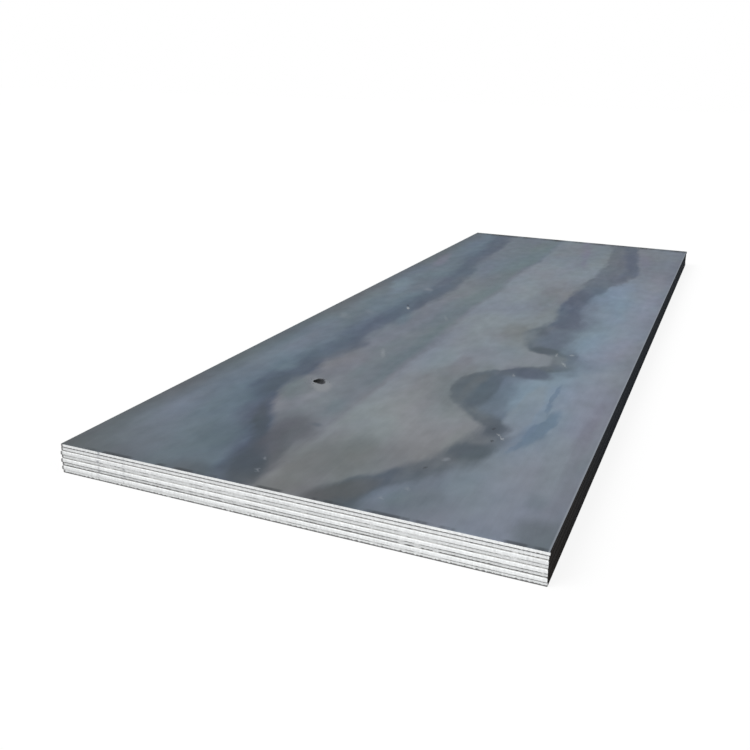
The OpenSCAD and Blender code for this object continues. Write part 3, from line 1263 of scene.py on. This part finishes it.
@dataclass
class Plate:
    """One plate of the stack, rebuilt inside its node's box."""

    level: Level
    low: Vector
    high: Vector
    finishes: dict[Zone, Finish]
    edge: RolledEdge = RolledEdge()
    end: ShearedEnd = ShearedEnd()
    cuts_across: int = 99
    cuts_along: int = 59
    crease_deg: float = 30.0
    # Two rows of cuts are never nearer than this.
    least_row: float = 0.0002
    # How fast the ripples change with the plate's height in the stack
    level_waves: float = 900.0

    @property
    def thickness(self) -> float:
        """Thickness of the plate."""
        return self.high.z - self.low.z

    def build(self) -> bpy.types.Object:
        """Builds and dresses the plate, and sets it in the frame.

        Returns:
            The finished piece.
        """
        form = self.lattice()
        self.zone_faces(form)
        self.detail(form)
        self.draw_in(form)
        self.crease(form)
        return self.dress(form)

    def lattice(self) -> bmesh.types.BMesh:
        """Cuts a block of the plate's size into rows by height and cells by length and width.

        Returns:
            The cut block.
        """
        form = bmesh.new()
        size = Matrix.Diagonal((*(self.high - self.low), 1.0))
        middle = Matrix.Translation((self.low + self.high) / 2)
        bmesh.ops.create_cube(form, size=1.0, matrix=middle @ size)
        for height in self.rows():
            geometry = [*form.verts, *form.edges, *form.faces]
            level = (0.0, 0.0, self.low.z + height)
            bmesh.ops.bisect_plane(form, geom=geometry, plane_co=level, plane_no=(0.0, 0.0, 1.0))
        for axis, cuts in ((0, self.cuts_across), (1, self.cuts_along)):
            runs = [edge for edge in form.edges if self.runs_along(edge, axis)]
            bmesh.ops.subdivide_edges(form, edges=runs, cuts=cuts, use_grid_fill=True)
        form.normal_update()
        return form

    def rows(self) -> list[float]:
        """Picks the heights of all cuts through the plate.

        Returns:
            The heights, from the bottom up.
        """
        wanted = sorted(self.edge.rows(self.thickness) + self.end.rows(self.thickness))
        rows: list[float] = []
        for height in wanted:
            if not rows or height - rows[-1] > self.least_row:
                rows.append(height)
        return rows

    @staticmethod
    def runs_along(edge: bmesh.types.BMEdge, axis: int) -> bool:
        """Returns whether an edge of the lattice runs along an axis."""
        step = edge.verts[1].co - edge.verts[0].co
        return abs(step[axis]) > RUNS_ALONG * step.length

    def zone_faces(self, form: bmesh.types.BMesh) -> None:
        """Gives each face of the square lattice the kind of surface that it stands for.

        Args:
            form: The plate's form.
        """
        for face in form.faces:
            if abs(face.normal.z) > FACES_ALONG:
                face.material_index = Zone.FACE
            elif abs(face.normal.x) > FACES_ALONG:
                face.material_index = Zone.ROLLED
            else:
                height = face.calc_center_median().z - self.low.z
                face.material_index = self.end.zone(height, self.thickness)

    def detail(self, form: bmesh.types.BMesh) -> None:
        """Leaves room for what only some plates have."""

    def draw_in(self, form: bmesh.types.BMesh) -> None:
        """Moves the points of the sides and ends in to the rolled and sheared sections.

        Args:
            form: The plate's form.
        """
        for vert in form.verts:
            place = vert.co.copy()
            height = place.z - self.low.z
            side = self.facing(place.x, self.low.x, self.high.x)
            end = self.facing(place.y, self.low.y, self.high.y)
            if side:
                back = self.edge.inset(height, self.thickness)
                back += self.edge.waver * self.ripple(place.y, self.edge.waves)
                vert.co.x -= side * back
            if end:
                back = self.end.inset(height, self.thickness)
                back += self.end.blade_waver * self.ripple(place.x, self.end.blade_waves)
                back += self.end.fine_waver * self.ripple(place.x, self.end.fine_waves)
                vert.co.y -= end * back
                if height < self.end.tear_height + TOUCH:
                    stray = self.ripple(place.x, self.end.tear_waves) - 0.5
                    vert.co.z += height * self.end.tear_waver * stray

    @staticmethod
    def facing(value: float, low: float, high: float) -> int:
        """Returns -1 at the low face, 1 at the high face and 0 between them."""
        return int(abs(value - high) < TOUCH) - int(abs(value - low) < TOUCH)

    def ripple(self, distance: float, waves: float) -> float:
        """Returns a smooth variation from 0 to 1 that differs from plate to plate."""
        spot = Vector((distance * waves, self.low.z * self.level_waves, 0.5))
        return 0.5 + 0.5 * noise.noise(spot)

    def crease(self, form: bmesh.types.BMesh) -> None:
        """Keeps the edge of the torn zone and all steep corners crisp.

        Args:
            form: The plate's form.
        """
        limit = math.radians(self.crease_deg)
        for face in form.faces:
            face.smooth = True
        for edge in form.edges:
            zones = {face.material_index for face in edge.link_faces}
            edge.smooth = edge.calc_face_angle(0.0) < limit and zones != {Zone.LAND, Zone.TORN}

    def dress(self, form: bmesh.types.BMesh) -> bpy.types.Object:
        """Turns the finished form into a piece with its materials.

        Args:
            form: The plate's form, which is freed.

        Returns:
            The piece, riding on the frame in place of its node.
        """
        name = f"{self.level.value}_skin"
        mesh = bpy.data.meshes.new(name)
        form.to_mesh(mesh)
        form.free()
        for zone in Zone:
            mesh.materials.append(self.finishes[zone].material())
        piece = bpy.data.objects.new(name, mesh)
        bpy.context.scene.collection.objects.link(piece)
        piece.modifiers.new("even_faces", "WEIGHTED_NORMAL").keep_sharp = True
        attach(piece, BODY)
        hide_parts(self.level.value)
        return piece


@dataclass
class TopPlate(Plate):
    """The top plate, with a hole burnt through it and slag beads round the hole."""

    hole: Vector = Vector((0.0, 0.0, 0.0))
    hole_radius: float = 0.025
    hole_sides: int = 60
    hole_room: float = 0.055
    lip: float = 0.0015
    wall_cuts: int = 5
    wall_waver: float = 0.0008
    wall_waves_round: float = 6.0
    wall_waves_down: float = 60.0
    bead_count: int = 16
    bead_radii: Span = (0.0010, 0.0028)
    bead_stretches: Span = (0.7, 1.3)
    bead_flatness: float = 0.6
    bead_spread: float = 0.045
    bead_shares: Span = (0.2, 1.0)
    seed: int = 7

    def detail(self, form: bmesh.types.BMesh) -> None:
        """Cuts the hole through the lattice and adds the beads.

        Args:
            form: The plate's form.
        """
        rims = []
        cells = [face for face in form.faces if self.near_hole(face)]
        bmesh.ops.delete(form, geom=cells, context="FACES")
        for height in (self.low.z, self.high.z):
            border = [edge for edge in form.edges if edge.is_boundary and self.lies_at(edge, height)]
            rim = self.rim(form, height)
            bmesh.ops.bridge_loops(form, edges=border + rim)
            rims.append(rim)
        wall = bmesh.ops.bridge_loops(form, edges=rims[0] + rims[1])
        for face in wall["faces"]:
            face.material_index = Zone.BURNT
        self.roughen(form, wall["faces"])
        self.bead(form)
        bmesh.ops.recalc_face_normals(form, faces=form.faces)

    def near_hole(self, face: bmesh.types.BMFace) -> bool:
        """Tells whether a cell of the broad faces lies in the hole's room.

        Args:
            face: A face of the lattice.

        Returns:
            Whether it does.
        """
        away = face.calc_center_median() - self.hole
        flat = abs(face.normal.z) > FACES_ALONG
        return flat and max(abs(away.x), abs(away.y)) < self.hole_room

    @staticmethod
    def lies_at(edge: bmesh.types.BMEdge, height: float) -> bool:
        """Returns whether both ends of an edge lie at a height."""
        return all(abs(vert.co.z - height) < TOUCH for vert in edge.verts)

    def rim(self, form: bmesh.types.BMesh, height: float) -> list[bmesh.types.BMEdge]:
        """Adds the hole's round rim.

        Args:
            form: The plate's form.
            height: The height of the rim.

        Returns:
            The rim's edges.
        """
        place = Matrix.Translation((self.hole.x, self.hole.y, height))
        ring = bmesh.ops.create_circle(
            form, segments=self.hole_sides, radius=self.hole_radius, matrix=place
        )
        return list({edge for vert in ring["verts"] for edge in vert.link_edges})

    def roughen(self, form: bmesh.types.BMesh, wall: list[bmesh.types.BMFace]) -> None:
        """Breaks the upper rim and draws the torch's uneven lines down the wall.

        Args:
            form: The plate's form.
            wall: Faces of the plain wall.
        """
        uprights = {edge for face in wall for edge in face.edges if not self.is_level(edge)}
        cut = bmesh.ops.subdivide_edges(form, edges=list(uprights), cuts=self.wall_cuts)
        inner = [item for item in cut["geom_inner"] if isinstance(item, bmesh.types.BMVert)]
        for vert in inner:
            arm = Vector((vert.co.x - self.hole.x, vert.co.y - self.hole.y, 0.0))
            turn = math.atan2(arm.y, arm.x)
            across = math.cos(turn) * self.wall_waves_round
            along = math.sin(turn) * self.wall_waves_round
            ripple = noise.noise(Vector((across, along, vert.co.z * self.wall_waves_down)))
            vert.co += arm.normalized() * self.wall_waver * (1.0 + ripple)
        upper = [edge for edge in form.edges if self.on_rim(edge)]
        bmesh.ops.bevel(
            form, geom=upper, offset=self.lip, segments=2, profile=0.5, material=-1, affect="EDGES"
        )

    @staticmethod
    def is_level(edge: bmesh.types.BMEdge) -> bool:
        """Returns whether an edge runs level."""
        return abs(edge.verts[0].co.z - edge.verts[1].co.z) < TOUCH

    def on_rim(self, edge: bmesh.types.BMEdge) -> bool:
        """Tells whether an edge belongs to the hole's upper rim.

        Args:
            edge: An edge of the plate's form.

        Returns:
            Whether it does.
        """
        arms = [vert.co - self.hole for vert in edge.verts]
        round_rim = all(abs(math.hypot(arm.x, arm.y) - self.hole_radius) < TOUCH for arm in arms)
        return round_rim and self.lies_at(edge, self.high.z)

    def bead(self, form: bmesh.types.BMesh) -> None:
        """Strews small slag beads round the hole, half sunk in the face.

        Args:
            form: The plate's form.
        """
        draw = random.Random(self.seed)
        for _ in range(self.bead_count):
            turn = draw.uniform(0.0, math.tau)
            away = self.hole_radius + draw.uniform(*self.bead_shares) * self.bead_spread
            radius = draw.uniform(*self.bead_radii)
            across = self.hole.x + away * math.cos(turn)
            along = self.hole.y + away * math.sin(turn)
            shape = Matrix.Diagonal((1.0, draw.uniform(*self.bead_stretches), self.bead_flatness, 1.0))
            place = Matrix.Translation((across, along, self.high.z)) @ shape
            made = bmesh.ops.create_icosphere(form, subdivisions=2, radius=radius, matrix=place)
            for face in {face for vert in made["verts"] for face in vert.link_faces}:
                face.material_index = Zone.BURNT


@dataclass(frozen=True)
class EndLook:
    """How the near-white end of one plate looks.

    It gives the land's brightness, the painted shade along the foot and where the end was rubbed.
    """

    tone: float
    # Painted shade along the foot of the end
    foot_shade: FootShade
    rubs: tuple[float, ...] = (0.187, 0.310)


# The dark dashes at each end's foot are painted shade where the plate meets the one below; at the bottom
# plate, where it meets the floor.
END_LOOKS = {
    Level.TOP: EndLook(1.0, FootShade(0.85, 0.0040, -0.05)),
    Level.SECOND: EndLook(0.97, FootShade(0.68, 0.0028, -0.06)),
    Level.THIRD: EndLook(0.96, FootShade(0.45, 0.0022)),
    Level.FOURTH: EndLook(0.95, FootShade(0.45, 0.0020)),
    Level.FIFTH: EndLook(0.99, FootShade(0.60, 0.0030)),
    Level.SIXTH: EndLook(0.90, FootShade(0.76, 0.0044, -0.10)),
    Level.SEVENTH: EndLook(0.99, FootShade(0.25, 0.0024, 0.18)),
    Level.BOTTOM: EndLook(0.95, FootShade(0.70, 0.0085, 0.08, (0.15, 0.15, 0.15)), ()),
}


@dataclass
class Stack:
    """The whole stack of plates."""

    hole: Vector
    hole_radius: float
    top_cuts_along: int = 199

    def build(self) -> list[bpy.types.Object]:
        """Builds every plate from the top down.

        Returns:
            The finished pieces.
        """
        return [self.plate(level).build() for level in Level]

    def plate(self, level: Level) -> Plate:
        """Sets up the plate of a level, sized by its node.

        Args:
            level: The plate's place in the stack.

        Returns:
            The plate, not built yet.
        """
        low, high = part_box(level.value)
        look = END_LOOKS[level]
        foot_shade = replace(look.foot_shade, foot=low.z)
        corner = Corner(low.x, left_shade_width=high.x - low.x, rubs=look.rubs)
        finishes: dict[Zone, Finish] = {
            Zone.FACE: PlainScale(f"{level.value}_mill_scale", near=low.y, far=high.y),
            Zone.LAND: ShearedLand(f"{level.value}_sheared_land", foot_shade, corner, look.tone),
            Zone.TORN: TornSteel(f"{level.value}_torn_steel", foot_shade, corner),
            Zone.ROLLED: RolledOxideAndShade("rolled_oxide_and_shade"),
            Zone.BURNT: BurntSteel("burnt_steel"),
        }
        if level is not Level.TOP:
            return Plate(level, low, high, finishes)
        finishes[Zone.FACE] = StainedScale(
            f"{level.value}_stained_scale",
            left=low.x,
            near=low.y,
            width=high.x - low.x,
            length=high.y - low.y,
        )
        return TopPlate(
            level,
            low,
            high,
            finishes,
            end=ShearedEnd(scale_on_rollover=True),
            cuts_along=self.top_cuts_along,
            hole=self.hole,
            hole_radius=self.hole_radius,
        )


@dataclass(frozen=True)
class PaleFloor(Finish):
    """Studio floor that looks white and still takes the stack's shadow."""

    bounce: Colour = (0.80, 0.80, 0.80)
    shadow_share: Colour = (0.12, 0.12, 0.12)
    lift: float = 0.89

    def paint(self, graph: NodeGraph) -> None:
        """Adds a lift towards white for the rays that show the floor itself.

        Args:
            graph: The empty graph.
        """
        plain = graph.add("ShaderNodeBsdfDiffuse", {"Color": self.bounce})
        shaded = graph.add("ShaderNodeBsdfDiffuse", {"Color": self.shadow_share})
        glow = graph.add("ShaderNodeEmission", {"Strength": self.lift})
        lifted = graph.add("ShaderNodeAddShader", {0: shaded.outputs[0], 1: glow.outputs[0]})
        inputs = {0: shown_ray(graph), 1: plain.outputs[0], 2: lifted.outputs[0]}
        mix = graph.add("ShaderNodeMixShader", inputs)
        graph.add("ShaderNodeOutputMaterial", {"Surface": mix.outputs[0]})


def shown_ray(graph: NodeGraph) -> Socket:
    """Tells rays that show the background itself from rays that carry its light.

    Args:
        graph: The nodes of the floor or the sky.

    Returns:
        1 for the rays that show it and 0 for the others.
    """
    path = graph.add("ShaderNodeLightPath", {})
    seen = graph.math("MAXIMUM", path.outputs["Is Camera Ray"], path.outputs["Is Glossy Ray"])
    return graph.math("MAXIMUM", seen, path.outputs["Is Transmission Ray"])


@dataclass
class Studio:
    """Floor, soft light and the camera at the photograph's viewing angle."""

    floor_half: float = 60.0
    floor_drop: float = 0.0005
    sky_colour: Colour = (1.0, 1.0, 1.0)
    sky_strength: float = 0.42
    sun_strength: float = 2.5
    sun_from: tuple[float, float, float] = (-0.50, -0.55, 0.75)
    sun_soft_deg: float = 40.0
    camera_place: tuple[float, float, float] = (1.438, -5.626, 1.591)
    camera_yaw_deg: float = -22.74
    camera_pitch_deg: float = 15.23
    camera_roll_deg: float = 1.48
    focal_px: float = 892.1
    # How far the photograph's cropping moved the lens axis, right and down from its middle
    axis_right_px: float = -8.0
    axis_down_px: float = -53.0
    picture_px: float = 750.0
    sensor_mm: float = 36.0

    def build(self) -> None:
        """Sets up the floor, the light and the camera."""
        self.lay_floor()
        self.light()
        self.aim_camera()
        bpy.context.scene.view_settings.view_transform = "Standard"

    def lay_floor(self) -> None:
        """Lays the floor just under the stack."""
        form = bmesh.new()
        place = Matrix.Translation((0.0, 0.0, -self.floor_drop))
        bmesh.ops.create_grid(form, x_segments=1, y_segments=1, size=self.floor_half, matrix=place)
        mesh = bpy.data.meshes.new("studio_floor")
        form.to_mesh(mesh)
        form.free()
        mesh.materials.append(PaleFloor("pale_floor").material())
        floor = bpy.data.objects.new("studio_floor", mesh)
        bpy.context.scene.collection.objects.link(floor)

    def light(self) -> None:
        """Adds a white sky and one broad lamp from the front left."""
        world = bpy.data.worlds.new("white_sky")
        world.use_nodes = True
        bpy.context.scene.world = world
        graph = NodeGraph(world.node_tree)
        strength = graph.between(shown_ray(graph), self.sky_strength, 1.0)
        sky = graph.add("ShaderNodeBackground", {"Color": self.sky_colour, "Strength": strength})
        graph.add("ShaderNodeOutputWorld", {"Surface": sky.outputs[0]})
        lamp = bpy.data.lights.new("broad_lamp", "SUN")
        lamp.energy = self.sun_strength
        lamp.angle = math.radians(self.sun_soft_deg)
        sun = bpy.data.objects.new("broad_lamp", lamp)
        sun.rotation_euler = Vector(self.sun_from).to_track_quat("Z", "Y").to_euler()
        bpy.context.scene.collection.objects.link(sun)

    def aim_camera(self) -> None:
        """Adds the camera."""
        yaw = math.radians(self.camera_yaw_deg)
        pitch = math.radians(self.camera_pitch_deg)
        roll = math.radians(self.camera_roll_deg)
        flat = math.cos(pitch)
        ahead = Vector((math.sin(yaw) * flat, math.cos(yaw) * flat, -math.sin(pitch)))
        level = Vector((math.cos(yaw), -math.sin(yaw), 0.0))
        upright = level.cross(ahead)
        right = math.cos(roll) * level + math.sin(roll) * upright
        up = math.cos(roll) * upright - math.sin(roll) * level
        turn = Matrix((right, up, -ahead)).transposed().to_4x4()
        data = bpy.data.cameras.new("photo_camera")
        data.sensor_width = self.sensor_mm
        data.lens = self.focal_px / self.picture_px * self.sensor_mm
        data.shift_x = -self.axis_right_px / self.picture_px
        data.shift_y = self.axis_down_px / self.picture_px
        camera = bpy.data.objects.new("photo_camera", data)
        camera.matrix_world = Matrix.Translation(self.camera_place) @ turn
        bpy.context.scene.collection.objects.link(camera)
        bpy.context.scene.camera = camera


def main() -> None:
    """Builds the studio and the stack around the frame."""
    logging.basicConfig(level=logging.INFO, format="%(message)s")
    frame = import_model()
    Studio().build()
    bore = next(mount for mount in frame["record"]["mounts"] if mount["name"] == HOLE_MOUNT)
    stack = Stack(hole=Vector(bore["pos_m"]), hole_radius=bore["dims"]["r_mm"] / MM_PER_M)
    for piece in stack.build():
        LOG.info("%s: %d faces", piece.name, len(piece.data.polygons))


if __name__ == "__main__":
    main()
